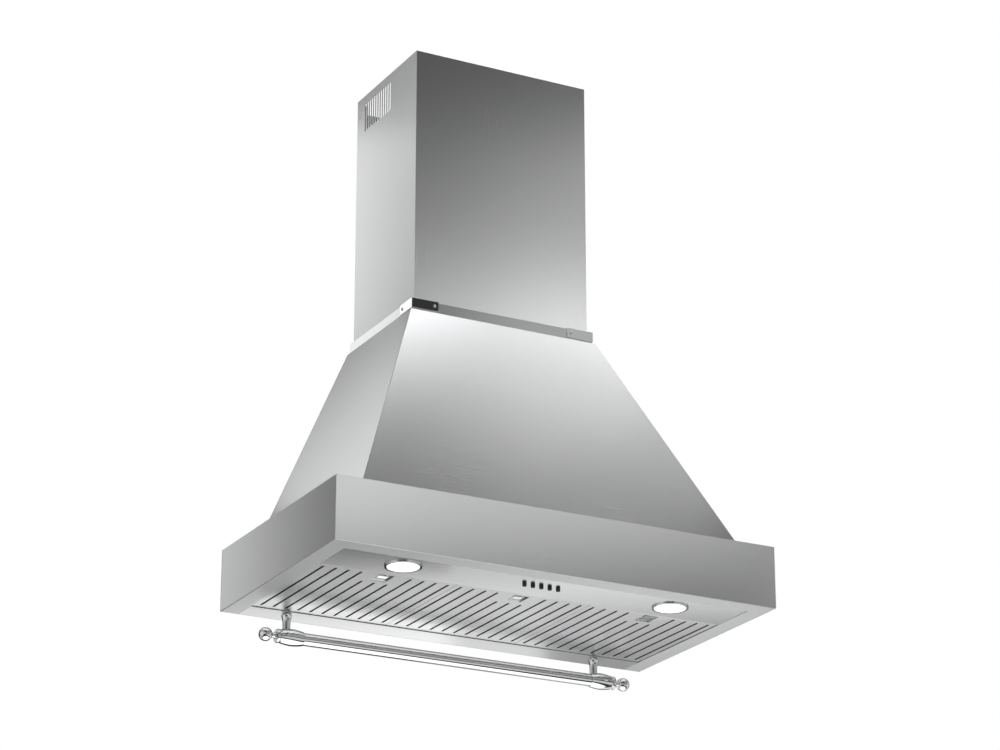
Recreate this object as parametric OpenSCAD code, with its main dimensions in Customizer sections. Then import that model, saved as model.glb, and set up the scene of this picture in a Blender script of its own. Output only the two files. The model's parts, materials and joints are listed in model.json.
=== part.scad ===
// Wall mount range hood: a skirted canopy with a pyramid top, a chimney cover with air vents, three
// baffle filters with sliding latches, two lamps, five push buttons, a blower and a utensil rail.
// X runs to the right seen from the front, Y into the wall and Z up. The origin is on the wall, in the
// middle of the four wall bolts. Heights in the modules are measured from the canopy's lower edge.

/* [Canopy] */
// Width of the canopy
canopy_w = 900; // [840:5:960]
// Depth of the canopy, from the wall to its front face
canopy_d = 500; // [480:5:540]
// Height of the canopy's upright skirt
skirt_h = 119; // [100:1:150]
// Thickness of the stainless sheet
sheet = 1.2; // [1:0.1:1.5]
// Width of the front strip of the underside frame
frame_front = 41; // [30:1:50]
// Width of each side strip of the underside frame
frame_side = 36.5; // [25:0.5:45]
// Depth of the rear strip of the underside frame
frame_rear = 56; // [52:1:60]
// Height of the upturned edges of the underside frame
frame_fold = 18; // [12:1:24]
// Shadow gap between the skirt and the underside frame
reveal = 0.8; // [0.5:0.1:1]
// Width of the flanges where the pyramid joins its neighbours
lap = 14; // [10:1:18]

/* [Pyramid] */
// Distance of the pyramid's foot behind the canopy's front
front_setback = 26; // [20:1:34]
// Distance of the pyramid's foot inside the canopy's sides
side_setback = 61.5; // [50:0.5:80]
// Ledge of the pyramid's head past the collar
head_ledge = 5; // [3:0.5:8]
// Height of the pyramid
pyramid_h = 436; // [410:1:480]

/* [Collar] */
// Reach of the collar past the chimney's sides
collar_side = 7.5; // [5:0.5:10]
// Reach of the collar past the chimney's front
collar_front = 6.5; // [4:0.5:8]
// Height of the collar above the pyramid
collar_h = 23; // [20:1:30]
// Width of the collar's foot flange, which carries the chimney
collar_foot = 16; // [12:1:20]
// Length of a corner clip along the front
clip_front = 57; // [40:1:70]
// Length of a corner clip along the side
clip_side = 51; // [40:1:60]
// Height of a corner clip
clip_h = 20; // [14:1:22]
// Height of the clips' lower edge above the pyramid
clip_lift = 4.5; // [3.5:0.5:6]
// Thickness of a corner clip
clip_t = 1.5; // [1:0.1:2]
// Distance of each clip screw from the end of its leg
clip_screw_in = 9; // [6:1:12]

/* [Chimney] */
// Width of the chimney cover
chimney_w = 373; // [360:1:374]
// Depth of the chimney cover
chimney_d = 265.5; // [260:0.5:266]
// Height of the chimney cover
chimney_h = 543.6; // [500:1:640]
// Thickness of the chimney cover's sheet
chimney_t = 1; // [0.8:0.1:1.2]
// Width of the chimney cover's rear flanges
chimney_return = 12; // [8:1:16]
// Number of vents in each side
vent_count = 12; // [6:1:14]
// Distance between neighbouring vents
vent_pitch = 10; // [9:0.5:12]
// Width of a vent
vent_w = 6; // [4:0.5:7]
// Height of a vent
vent_h = 61; // [40:1:70]
// Distance of the vents from the chimney's top
vent_drop = 19; // [15:1:30]
// Distance of the rearmost vent from the wall
vent_rear = 38; // [34:1:50]
// Distance of the chimney bracket from the chimney's top
bracket_drop = 24; // [20:1:30]
// Height of the chimney bracket
bracket_h = 55; // [45:1:60]
// Depth of the chimney bracket's ears
bracket_d = 43; // [30:1:48]
// Thickness of the chimney bracket
bracket_t = 1.5; // [1.2:0.1:2]
// Distance between the chimney bracket's two wall holes
bracket_span = 280; // [240:5:300]
// Radius of the chimney bracket's wall holes
bracket_hole_r = 3.1; // [2.6:0.1:3.6]
// Distance of the chimney screws below the chimney's top
chimney_screw_drop = 40; // [34:1:50]
// Distance of the chimney screws from the wall
chimney_screw_in = 11; // [9:1:14]

/* [Wall bolts] */
// Height of the middle of the wall bolts above the canopy's lower edge
hang_h = 310; // [295:1:320]
// Distance between the wall bolts, side to side
bolt_span_x = 400; // [390:2:420]
// Distance between the wall bolts, up and down
bolt_span_z = 280; // [250:2:300]
// Radius of the wall bolt holes
bolt_hole_r = 4.2; // [3.5:0.1:5]

/* [Lamp panel] */
// Depth of the lamp panel that shows in front of the filters
panel_d = 104; // [96:1:112]
// Overlap of the lamp panel on the underside frame
panel_lap = 8; // [5:1:12]
// Depth of the ledge at the lamp panel's rear edge
panel_ledge = 10; // [8:1:14]
// Distance of the lamps in front of the panel's middle
lamp_fore = 4; // [0:1:8]
// Width of the lamp bezels' rims
bezel_w = 4; // [3:0.5:8]
// Radius of the lamp lenses
lens_r = 30; // [26:0.5:30]
// Height of the bezels below the panel
bezel_drop = 2.6; // [2:0.1:3]
// Wall of a bezel's sleeve
bezel_wall = 1.2; // [1:0.1:1.5]
// Height of a lamp body above the panel
lamp_h = 20; // [14:1:30]
// Number of cooling fins on a lamp body
fin_count = 7; // [3:1:9]

/* [Buttons] */
// Radius of a button
button_r = 4; // [3:0.1:5]
// Distance between neighbouring buttons
button_pitch = 17.3; // [14:0.1:19]
// Distance of the buttons in front of the panel's middle
button_fore = 11; // [4:1:16]
// Height of a button below the panel
button_out = 6; // [4:0.1:8]
// Travel of a button
button_travel = 2.5; // [1.5:0.1:3]
// Height of a button above the panel's lower face
button_in = 9; // [8:0.5:12]
// Radial gap between a button and the panel
button_gap = 0.4; // [0.3:0.05:0.6]
// Depth of the switch block
switch_d = 22; // [18:1:26]
// Height of the switch block
switch_h = 22; // [19:1:26]

/* [Filters] */
// Gap between neighbouring filters
filter_gap = 0.8; // [0.6:0.1:1.5]
// Gap between the outer filters and the underside frame
filter_side_gap = 1.7; // [1:0.1:3]
// Gap between a filter and the lamp panel
filter_front_gap = 0.6; // [0.4:0.1:1]
// Gap between a filter and the rear strip
filter_rear_gap = 1; // [0.8:0.1:1.5]
// Height of a filter
filter_h = 10; // [9:0.5:12]
// Height of a filter's face above the canopy's lower edge
filter_lift = 1.5; // [1.3:0.1:2]
// Thickness of a filter's sheet
filter_t = 0.8; // [0.6:0.1:0.8]
// Distance between neighbouring slots
slot_pitch = 24.8; // [22:0.1:28]
// Width of a slot
slot_w = 4.8; // [3:0.1:6]
// Distance of the long slots from the filter's front edge
slot_front = 10.5; // [8:0.5:14]
// Distance of the slots from the filter's rear edge
slot_rear = 13; // [12:0.5:18]
// Least distance of a slot from the filter's side
slot_side = 10; // [9:0.5:12]
// Height of the folds along a slot
slot_fold = 2.5; // [1.5:0.1:2.7]
// Width of an upper baffle
baffle_w = 17; // [12:0.5:18]
// Width of the flanges along a filter's upper edge
filter_flange = 8; // [6:0.5:10]
// Width of the straps across the baffles
strap_w = 10; // [6:1:14]
// Height of the baffles' legs
baffle_leg = 4.4; // [3:0.1:4.8]

/* [Latches] */
// Width of a latch pocket
pocket_w = 30.5; // [26:0.5:32]
// Distance of a latch pocket from the filter's front edge
pocket_front = 9; // [7:0.5:12]
// Depth of a latch pocket
pocket_depth = 3.6; // [3:0.1:3.6]
// Width of a latch tab
tab_w = 18.5; // [14:0.5:20]
// Length of a latch tab
tab_l = 16; // [12:0.5:17]
// Distance of a latch tab from the front of its pocket
tab_front = 9.5; // [6:0.5:11]
// Travel of a latch
latch_travel = 7; // [6:0.1:8]
// Room behind a latch tab that is drawn back
pocket_room = 6.5; // [4:0.5:9]
// Reach of a latch bolt in front of its filter
latch_reach = 5.4; // [4:0.1:6]
// Thickness of a latch bolt
latch_t = 1.5; // [1:0.1:1.8]
// Radius of the drain hole in a latch pocket
drain_r = 1.6; // [1:0.1:2]

/* [Filter ledge] */
// Reach of a filter's rear tabs over the ledge
hook_reach = 8.5; // [8:0.1:9]
// Width of a filter's rear tab
hook_w = 30; // [20:1:40]
// Distance of each rear tab from the filter's middle
hook_x = 95; // [60:1:105]
// Distance of the ledge's front edge behind the rear strip's edge
ledge_in = 0.5; // [0.3:0.1:0.8]
// Depth of the ledge
ledge_d = 9; // [9:0.1:10]
// Depth of the ledge's foot
ledge_foot = 16; // [10:1:20]

/* [Blower] */
// Radius of the fan wheel
wheel_r = 80; // [76:1:84]
// Gap between the wheel and each cheek of the scroll
wheel_gap = 5; // [3:0.5:8]
// Number of blades
blade_count = 36; // [24:2:44]
// Depth of a blade, measured along the wheel's radius
blade_d = 15; // [12:1:17]
// Thickness of a blade
blade_t = 1.1; // [0.8:0.1:1.4]
// Gap between the wheel and the scroll at the tongue
tongue_gap = 8; // [6:1:10]
// Radius of the scroll at its outlet
scroll_r = 135; // [130:1:140]
// Inner width of the scroll
scroll_w = 138; // [136:1:146]
// Depth of the scroll's outlet
outlet_d = 130; // [120:1:134]
// Distance of the fan's axis below the pyramid's top
fan_drop = 160; // [150:1:165]
// Thickness of the scroll's sheet
scroll_t = 1; // [0.8:0.1:1.2]
// Width of the scroll's top flange
scroll_flange = 14; // [12:0.5:16]
// Radius of the air inlets
inlet_r = 56; // [52:1:58]
// Height of the inlets' rolled lips
inlet_lip = 6; // [4:0.5:8]
// Radius of the motor
motor_r = 38; // [34:1:42]
// Reach of the motor past its bracket
motor_past = 13; // [8:1:20]
// Distance from the middle of the fan to the motor
motor_off = 26; // [22:1:30]
// Radius of the shaft
shaft_r = 4; // [3:0.5:5]
// Radius of the wheel's hub
hub_r = 12; // [10:0.5:14]
// Length of the wheel's hub
hub_l = 24; // [20:1:26]
// Thickness of the motor bracket's arms
arm_t = 3; // [2:0.5:4]
// Width of the motor bracket's arms
arm_w = 12; // [8:1:16]
// Depth of the motor bracket's ring
ring_d = 8; // [6:1:12]

/* [Outlet] */
// Outer diameter of the duct outlet
duct_d = 150; // [145:1:152]
// Height of the duct outlet above the top plate
duct_h = 60; // [50:1:80]
// Wall of the duct outlet
duct_wall = 2; // [1.5:0.1:2.5]
// Distance from the blower screws to the edge of the duct outlet's flange
flange_edge = 11; // [8:1:14]
// Thickness of the duct outlet's flange
duct_flange_t = 2.5; // [2:0.1:4]
// Height of the damper's rod above the top plate
damper_h = 22; // [18:1:28]
// Width of the damper's stop rim
rim_w = 4; // [3:0.5:6]
// Thickness of the damper flaps
flap_t = 1.2; // [1:0.1:2]
// Gap between the damper flaps and the duct outlet's wall
flap_gap = 2; // [1.5:0.1:2.5]
// Radius of the damper's rod
rod_r = 2; // [1.5:0.1:2.5]
// Width of a damper hinge eye
eye_w = 18; // [10:1:20]

/* [Electrics] */
// Width of the electronics box
box_w = 90; // [70:5:95]
// Height of the electronics box
box_h = 110; // [90:5:115]
// Depth of the electronics box
box_d = 45; // [35:1:50]
// Distance of the electronics box from the middle
box_x = 92; // [90:1:96]
// Distance of the electronics box below the pyramid's top
box_drop = 120; // [110:1:125]
// Distance of the cable gland from the middle
gland_x = 130; // [120:1:140]
// Distance of the cable gland from the wall
gland_y = 50; // [40:1:60]
// Radius of the cable gland's bore
gland_bore_r = 3.6; // [3:0.1:4]
// Radius of the cable gland's thread
gland_r = 6; // [5.5:0.1:8]
// Radius of the cable gland's flanges
gland_flange_r = 9.5; // [9:0.1:11]
// Height of the cable gland above the top plate
gland_h = 18; // [14:1:22]
// Depth of the cable gland below the top plate
gland_drop = 7; // [5:1:10]

/* [Utensil rail] */
// Radius of the rail tube
tube_r = 12; // [10:0.5:12]
// Height of the rail's axis below the canopy
rail_drop = 40; // [38:1:44]
// Distance of the rail from the wall
rail_y = 29; // [26:1:31]
// Distance of each post from the canopy's side
post_in = 122; // [110:1:140]
// Distance of the rail's middle to the right of the posts' middle
rail_shift = 12; // [8:1:12]
// Half the difference between the ferrules' distance and the posts'
ferrule_past = 6; // [4:0.5:10]
// Length of a ferrule
ferrule_l = 54; // [52:1:64]
// Wall of a ferrule round the tube
ferrule_wall = 1.2; // [1:0.1:2]
// Swell of a ferrule towards its middle
ferrule_swell = 2.8; // [1:0.1:4]
// Radius of the ball at each end
ball_r = 13; // [11:0.5:15]
// Length of the neck between a ferrule and its ball
neck_l = 8; // [6:0.5:10]
// Radius of the neck
neck_r = 4.6; // [4:0.1:6]
// Radius of a post at the canopy
post_top_r = 10; // [9:0.1:11]
// Radius of a post at its waist
post_waist_r = 7.4; // [7:0.1:8]
// Radius of a post's stud
stud_r = 2.5; // [2:0.1:3]

/* [Fasteners] */
// Radius of the thin screws' shanks
screw_r = 1.5; // [1.2:0.1:1.6]
// Length of the thin screws
screw_l = 5; // [4:0.1:5.5]
// Radius of the blower screws' shanks
bolt_r = 2; // [1.8:0.1:2.2]
// Width across the flats of the nuts
nut_w = 8; // [7:0.5:9]
// Height of the nuts
nut_h = 3.2; // [2.5:0.1:4]

/* [Fits] */
// Radial play of a shaft or pin in its bore
play = 0.06; // [0.05:0.01:0.09]
// Gap between pieces that are set beside each other
seat = 0.1; // [0.05:0.01:0.12]
// Radial gap of a screw in its hole
screw_gap = 0.2; // [0.15:0.01:0.25]

/* [Hidden] */
$fn = 64;
STEEL = "#c4c6c8";
BRIGHT = "#e4e6e8";
BLACK = "#18181a";
ZINC = "#a9adb0";
GREY = "#77797c";
GLASS = "#f6f8ff";

// Overrun of the cuts, in shares of the sheet's thickness
over_share = 1;
over = sheet * over_share;
half_w = canopy_w / 2;
collar_w = chimney_w + 2 * collar_side;
collar_d = chimney_d + collar_front;
pyramid_foot_w = canopy_w - 2 * side_setback;
pyramid_foot_d = canopy_d - front_setback;
pyramid_head_w = collar_w + 2 * head_ledge;
pyramid_head_d = collar_d + head_ledge;
open_x = half_w - frame_side;
open_front = frame_front - canopy_d;
panel_rear = open_front + panel_d;
pyramid_top = skirt_h + pyramid_h;
side_slope = (pyramid_foot_w - pyramid_head_w) / 2 / pyramid_h;
front_slope = (pyramid_foot_d - pyramid_head_d) / pyramid_h;
side_skin = sheet * sqrt(1 + side_slope * side_slope);
front_skin = sheet * sqrt(1 + front_slope * front_slope);
plate_top = pyramid_top + sheet;
chimney_foot = plate_top + sheet;
chimney_top = chimney_foot + chimney_h;
bracket_top = chimney_top - bracket_drop;
bracket_foot = bracket_top - bracket_h;
bracket_x = chimney_w / 2 - chimney_t - seat;
collar_top = pyramid_top + collar_h;
clip_z = pyramid_top + clip_lift + clip_h / 2;
clip_corner_x = collar_w / 2 + clip_t;
clip_corner_y = collar_d + clip_t;

// Filters: three of them share the opening of the underside frame
filter_w = (2 * open_x - 2 * filter_side_gap - 2 * filter_gap) / 3;
filter_pitch = filter_w + filter_gap;
filter_y = panel_rear + filter_front_gap;
filter_l = -frame_rear - filter_rear_gap - filter_y;
filter_top = filter_lift + filter_h;
slot_count = floor((filter_w - 2 * slot_side - slot_w) / slot_pitch) + 1;
floor_z = filter_lift + pocket_depth;
bolt_z = floor_z + filter_t + seat;
pocket_end = pocket_front + tab_front + tab_l + latch_travel + pocket_room;
baffle_top = filter_top - filter_t;
hinge_y = -frame_rear + ledge_in;
ledge_top = filter_top - seat;

// Lamps and buttons: the lamps stand in line with the outer filters
lamp_x = filter_pitch;
lamp_y = -open_front - panel_d / 2 + lamp_fore;
button_y = -open_front - panel_d / 2 + button_fore;
bezel_r = lens_r + bezel_w;
// Height of a bezel's sleeve, as a share of the lamp body's height
bezel_share = 0.6;

// Fan
fan_y = -chimney_d / 2 + outlet_d / 2 - scroll_r;
fan_z = pyramid_top - fan_drop;
wheel_w = scroll_w - 2 * wheel_gap;
motor_l = scroll_w / 2 + scroll_t + inlet_lip + arm_t + motor_past - motor_off;
box_z = pyramid_top - box_drop - box_h;
tongue_r = wheel_r + tongue_gap;
outlet_rear = scroll_r;
outlet_front = scroll_r - outlet_d;
tongue_angle = acos(outlet_front / tongue_r);
duct_y = -chimney_d / 2;
duct_r = duct_d / 2;
damper_z = plate_top + damper_h;
flap_r = duct_r - duct_wall - flap_gap;
blower_screw_x = scroll_w / 2 + scroll_t + scroll_flange / 2;
blower_screw_y = outlet_d / 2 + scroll_t + scroll_flange / 2;
flange_x = max(blower_screw_x, duct_r) + flange_edge;
flange_y = max(blower_screw_y, duct_r) + flange_edge;

// Rail
rail_z = -rail_drop;
post_x = half_w - post_in;
ferrule_x = post_x + ferrule_past;
ferrule_end_r = tube_r + ferrule_wall;
ferrule_r = ferrule_end_r + ferrule_swell;
// Depth of the tube in a ferrule
tube_in_share = 0.4;
tube_in = ferrule_l * tube_in_share;

// The two limits at a distance to both sides of zero, or of a middle
function pm(v, middle = 0) = [middle - v, middle + v];
// Half the pyramid's width at a height
function pyramid_x(z) = pyramid_foot_w / 2 - (z - skirt_h) * side_slope;
// The filter's middle along X, for filters 1 to 3
function filter_x(i) = (i - 2) * filter_pitch;
// A slot's place along X, measured from the filter's middle
function slot_x(i) = (i - (slot_count - 1) / 2) * slot_pitch;
// A slot is short where it would run into the latch's pocket
function slot_start(i) =
    abs(slot_x(i)) < (pocket_w + slot_w) / 2 + slot_side ? pocket_end + slot_rear : slot_front;
// Radius of the scroll at an angle from the outlet's rear wall
function scroll_at(a) =
    tongue_r + (scroll_r - tongue_r) * (a - tongue_angle) / (360 - tongue_angle);

// Places heights measured from the canopy's lower edge in the part's own frame
module hood() {
    translate([0, 0, -hang_h])
        children();
}

// A box between two limits along each of X, Y and Z
module block(x, y, z) {
    translate([x[0], y[0], z[0]])
        cube([x[1] - x[0], y[1] - y[0], z[1] - z[0]]);
}

// Round bars along the three directions
module bar_x(r, x, y, z) {
    translate([x[0], y, z])
        rotate([0, 90, 0])
            cylinder(r = r, h = x[1] - x[0]);
}

module bar_y(r, x, y, z) {
    translate([x, y[1], z])
        rotate([90, 0, 0])
            cylinder(r = r, h = y[1] - y[0]);
}

module bar_z(r, x, y, z) {
    translate([x, y, z[0]])
        cylinder(r = r, h = z[1] - z[0]);
}

// An outline in Y and Z, carried along X
module along_x(x) {
    translate([x[0], 0, 0])
        rotate([90, 0, 90])
            linear_extrude(x[1] - x[0])
                children();
}

// A turned shape about X, drawn as radius against distance outwards
module turned_x(side, x, y, z) {
    translate([x, y, z])
        rotate([0, 90 * side, 0])
            rotate_extrude()
                children();
}

// The skirt: front and sides in one folded sheet, with a ledge that carries the pyramid
module canopy_skirt() {
    color(STEEL) hood() difference() {
        block(pm(half_w), [-canopy_d, -sheet], [0, skirt_h]);
        block(pm(half_w - sheet), [sheet - canopy_d, over], [-over, skirt_h - sheet]);
        block(pm(pyramid_foot_w / 2 - lap), [lap - pyramid_foot_d, over], [0, skirt_h + over]);
    }
}

// The pyramid as a solid, its sides and front drawn in by the two insets
module pyramid_solid(side_in, front_in, rear) {
    foot = pyramid_foot_w / 2 - side_in;
    head = pyramid_head_w / 2 - side_in;
    intersection() {
        rotate([90, 0, 0])
            linear_extrude(pyramid_foot_d)
                polygon([[-foot, skirt_h], [foot, skirt_h], [head, pyramid_top], [-head, pyramid_top]]);
        along_x(pm(pyramid_foot_w / 2))
            polygon([
                [front_in - pyramid_foot_d, skirt_h], [rear, skirt_h],
                [rear, pyramid_top], [front_in - pyramid_head_d, pyramid_top]
            ]);
    }
}

// The pyramid's three walls, flanged inwards at the foot and the head
module pyramid_shell() {
    color(STEEL) hood() difference() {
        pyramid_solid(0, 0, -sheet);
        intersection() {
            pyramid_solid(side_skin, front_skin, 0);
            block(pm(half_w), [-canopy_d, 0], [skirt_h + sheet, pyramid_top - sheet]);
        }
        block(pm(pyramid_foot_w / 2 - lap), [lap - pyramid_foot_d, 0], [skirt_h - over, skirt_h + sheet + over]);
        block(pm(pyramid_head_w / 2 - lap), [lap - pyramid_head_d, 0],
            [pyramid_top - sheet - over, pyramid_top + over]);
    }
}

// The flat back, with the holes that the hood hangs from
module rear_panel() {
    color(ZINC) hood() difference() {
        rotate([90, 0, 0])
            linear_extrude(sheet)
                polygon([
                    [-half_w, 0], [half_w, 0], [half_w, skirt_h], [pyramid_foot_w / 2, skirt_h],
                    [pyramid_head_w / 2, pyramid_top], [-pyramid_head_w / 2, pyramid_top],
                    [-pyramid_foot_w / 2, skirt_h], [-half_w, skirt_h]
                ]);
        for (x = pm(bolt_span_x / 2), z = pm(bolt_span_z / 2))
            bar_y(bolt_hole_r, x, [-sheet - over, over], hang_h + z);
    }
}

// The plate that closes the pyramid, under the duct outlet
module top_plate() {
    inset = (pyramid_head_w - collar_w) / 4;
    color(ZINC) hood() difference() {
        block(pm(pyramid_head_w / 2 - inset), [inset - pyramid_head_d, 0], [pyramid_top, plate_top]);
        bar_z(duct_r - duct_wall - rim_w, 0, duct_y, [pyramid_top - over, plate_top + over]);
        bar_z(gland_r + screw_gap, gland_x, -gland_y, [pyramid_top - over, plate_top + over]);
        blower_screw_holes([pyramid_top - over, plate_top + over]);
    }
}

module blower_screw_holes(z) {
    for (x = pm(blower_screw_x), y = pm(blower_screw_y))
        bar_z(bolt_r + screw_gap, x, duct_y + y, z);
}

// The upstand round the chimney's foot, with a flange that the chimney stands on
module collar() {
    half = collar_w / 2;
    color(STEEL) hood() difference() {
        block(pm(half), [-collar_d, 0], [plate_top, collar_top]);
        block(pm(half - sheet), [sheet - collar_d, over], [chimney_foot, collar_top + over]);
        block(pm(half - collar_foot), [collar_foot - collar_d, over], [plate_top - over, collar_top]);
        clip_screw_holes(screw_r + screw_gap);
    }
}

// The four clip screws' axes, from inside the collar to outside the clips
module clip_screw_holes(r) {
    for (side = [-1, 1]) {
        bar_y(r, side * (clip_corner_x - clip_front + clip_screw_in),
            [-clip_corner_y - over, sheet - collar_d + over], clip_z);
        bar_x(r, side > 0 ? [collar_w / 2 - sheet - over, clip_corner_x + over]
            : [-clip_corner_x - over, sheet + over - collar_w / 2],
            clip_side - clip_screw_in - clip_corner_y, clip_z);
    }
}

// An L-shaped clip at one front corner of the collar
module corner_clip(side) {
    z = pyramid_top + clip_lift;
    color(BRIGHT) hood() difference() {
        scale([side, 1, 1])
            difference() {
                block([clip_corner_x - clip_front, clip_corner_x], [-clip_corner_y, clip_side - clip_corner_y],
                    [z, z + clip_h]);
                block([clip_corner_x - clip_front - over, clip_corner_x - clip_t], [-collar_d, 0],
                    [z - over, z + clip_h + over]);
            }
        clip_screw_holes(screw_r + screw_gap);
    }
}

// A round-headed screw that points along +Z, its head's seat at the origin
module screw(r, l) {
    head = 2 * r;
    root = head / 8;
    translate([0, 0, -root])
        cylinder(r = r, h = l + root);
    difference() {
        intersection() {
            translate([0, 0, -head])
                cylinder(r = head, h = head);
            translate([0, 0, head])
                sphere(r = head * 1.5);
        }
        for (turn = [0, 90])
            rotate(turn)
                block(pm(head / 2), pm(head / 10), [-head, -head / 5]);
    }
}

module clip_screws() {
    color(BRIGHT) hood() for (side = [-1, 1]) {
        translate([side * (clip_corner_x - clip_front + clip_screw_in), -clip_corner_y, clip_z])
            rotate([-90, 0, 0])
                screw(screw_r, screw_l);
        translate([side * clip_corner_x, clip_side - clip_screw_in - clip_corner_y, clip_z])
            rotate([0, -90 * side, 0])
                screw(screw_r, screw_l);
    }
}

// One upright vent, drawn through both sides of the chimney
module vent(y) {
    z = [chimney_top - vent_drop - vent_h + vent_w / 2, chimney_top - vent_drop - vent_w / 2];
    x = pm(chimney_w / 2 + over);
    block(x, [y - vent_w / 2, y + vent_w / 2], z);
    for (end = z)
        bar_x(vent_w / 2, x, y, end);
}

// The chimney cover: one folded sheet, open at the back, the top and the foot
module chimney_cover() {
    half = chimney_w / 2;
    color(STEEL) hood() difference() {
        union() {
            difference() {
                block(pm(half), [-chimney_d, 0], [chimney_foot, chimney_top]);
                block(pm(half - chimney_t), [chimney_t - chimney_d, over],
                    [chimney_foot - over, chimney_top + over]);
            }
            for (side = [-1, 1])
                scale([side, 1, 1])
                    block([half - chimney_return, half], [-chimney_t, 0],
                        [chimney_foot, bracket_foot - chimney_return / 2]);
        }
        for (i = [0 : vent_count - 1])
            vent(-vent_rear - i * vent_pitch);
        bar_x(screw_r + screw_gap, pm(half + over), -chimney_screw_in, chimney_top - chimney_screw_drop);
    }
}

// The wall bracket that holds the chimney's upper end
module chimney_bracket() {
    color(ZINC) hood() difference() {
        block(pm(bracket_x), [-bracket_d, 0], [bracket_foot, bracket_top]);
        block(pm(bracket_x - bracket_t), [-bracket_d - over, -bracket_t], [bracket_foot - over, bracket_top + over]);
        for (x = pm(bracket_span / 2))
            bar_y(bracket_hole_r, x, [-bracket_t - over, over], (bracket_foot + bracket_top) / 2);
        bar_x(screw_r + screw_gap, pm(bracket_x + over), -chimney_screw_in, chimney_top - chimney_screw_drop);
    }
}

module chimney_screws() {
    color(BRIGHT) hood() for (side = [-1, 1])
        translate([side * chimney_w / 2, -chimney_screw_in, chimney_top - chimney_screw_drop])
            rotate([0, -90 * side, 0])
                screw(screw_r, screw_l);
}

// The frame round the lamp panel and the filters: front and side strips in one piece
module underside_frame() {
    inner = half_w - sheet - reveal;
    color(STEEL) hood() {
        difference() {
            block(pm(inner), [sheet + reveal - canopy_d, -sheet], [0, sheet]);
            block(pm(open_x), [open_front, over], [-over, sheet + over]);
        }
        difference() {
            block(pm(half_w - sheet), [sheet - canopy_d, -sheet], [sheet / 2, frame_fold]);
            block(pm(half_w - 2 * sheet), [2 * sheet - canopy_d, over], [0, frame_fold + over]);
        }
        for (side = [-1, 1])
            scale([side, 1, 1])
                block([open_x, open_x + sheet], [filter_y, -frame_rear], [0, filter_top]);
    }
}

// The rear strip, which carries the rail's posts and the ledge that the filters hook on
module rear_strip() {
    x = pm(open_x - seat);
    lip = ledge_top - sheet;
    color(STEEL) hood() {
        difference() {
            block(x, [-frame_rear, -sheet], [0, sheet]);
            for (post = pm(post_x))
                bar_z(stud_r + screw_gap, post, -rail_y, [-over, sheet + over]);
        }
        block(x, [-2 * sheet, -sheet], [0, frame_fold]);
        block(x, [hinge_y, hinge_y + ledge_d], [lip, ledge_top]);
        block(x, [hinge_y + ledge_d - sheet, hinge_y + ledge_d], [sheet, ledge_top]);
        difference() {
            block(x, [hinge_y + ledge_d - sheet, hinge_y + ledge_d - sheet + ledge_foot], [sheet, 2 * sheet]);
            for (post = pm(post_x))
                bar_z(nut_w, post, -rail_y, [sheet - over, 2 * sheet + over]);
        }
    }
}

// The panel with the lamps and buttons, folded up at its rear edge into a ledge for the latches
module lamp_panel() {
    x = open_x + panel_lap;
    top = bolt_z - seat;
    color(STEEL) hood() {
        difference() {
            block(pm(x), [open_front - panel_lap, panel_rear], [sheet, 2 * sheet]);
            for (side = [-1, 1])
                bar_z(lens_r + bezel_wall + screw_gap, side * lamp_x, -lamp_y, [0, 2 * sheet + over]);
            for (i = [1 : 5])
                bar_z(button_r + button_gap, button_x(i), -button_y, [0, 2 * sheet + over]);
        }
        block(pm(open_x - seat), [panel_rear - sheet, panel_rear], [sheet, top]);
        block(pm(open_x - seat), [panel_rear - panel_ledge, panel_rear], [top - sheet, top]);
    }
}

function button_x(i) = (i - 3) * button_pitch;

// A lamp's bezel: a rounded flange under the panel and a sleeve up through it
module lamp_bezel(side) {
    lip = bezel_drop / 2;
    sleeve = lens_r + bezel_wall;
    color(BRIGHT) hood()
        translate([side * lamp_x, -lamp_y, 0])
            rotate_extrude()
                union() {
                    polygon([
                        [lens_r, sheet - bezel_drop], [bezel_r - lip, sheet - bezel_drop],
                        [bezel_r, sheet - lip], [bezel_r, sheet], [sleeve, sheet],
                        [sleeve, sheet + lamp_h * bezel_share], [lens_r, sheet + lamp_h * bezel_share]
                    ]);
                }
}

// A lamp's frosted lens, set in the bezel
module lamp_lens(side) {
    low = sheet - bezel_drop * 3 / 4;
    color(GLASS) hood()
        bar_z(lens_r - seat, side * lamp_x, -lamp_y, [low, low + 2 * sheet]);
}

// A lamp's body, finned on top
module lamp_body(side) {
    low = sheet - bezel_drop * 3 / 4 + 2 * sheet;
    r = lens_r - seat;
    fin_pitch = 2 * r / fin_count;
    color(GREY) hood()
        translate([side * lamp_x, -lamp_y, 0])
            difference() {
                bar_z(r, 0, 0, [low, sheet + lamp_h]);
                for (i = [1 : fin_count - 1])
                    block([i * fin_pitch - r - fin_pitch / 4, i * fin_pitch - r + fin_pitch / 4],
                        pm(r), [sheet + lamp_h / 2, sheet + lamp_h + over]);
            }
}

// The block of switches above the panel, with a guide for each button
module switch_block() {
    low = 2 * sheet;
    color(BLACK) hood() difference() {
        block(pm(2 * button_pitch + switch_d / 2), [-button_y - switch_d / 2, switch_d / 2 - button_y],
            [low, low + switch_h]);
        for (i = [1 : 5])
            bar_z(button_r + play, button_x(i), -button_y,
                [0, sheet + button_in + button_travel + screw_gap]);
    }
}

// A round push button with a domed end, free to slide up into the switch block
module push_button(i) {
    dome = button_out / 6;
    color(BLACK) hood()
        translate([button_x(i), -button_y, sheet])
            rotate_extrude()
                polygon([
                    [0, -button_out], [button_r - 2 * dome, -button_out], [button_r - dome, dome / 4 - button_out],
                    [button_r, dome - button_out], [button_r, button_in], [0, button_in]
                ]);
}

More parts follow.
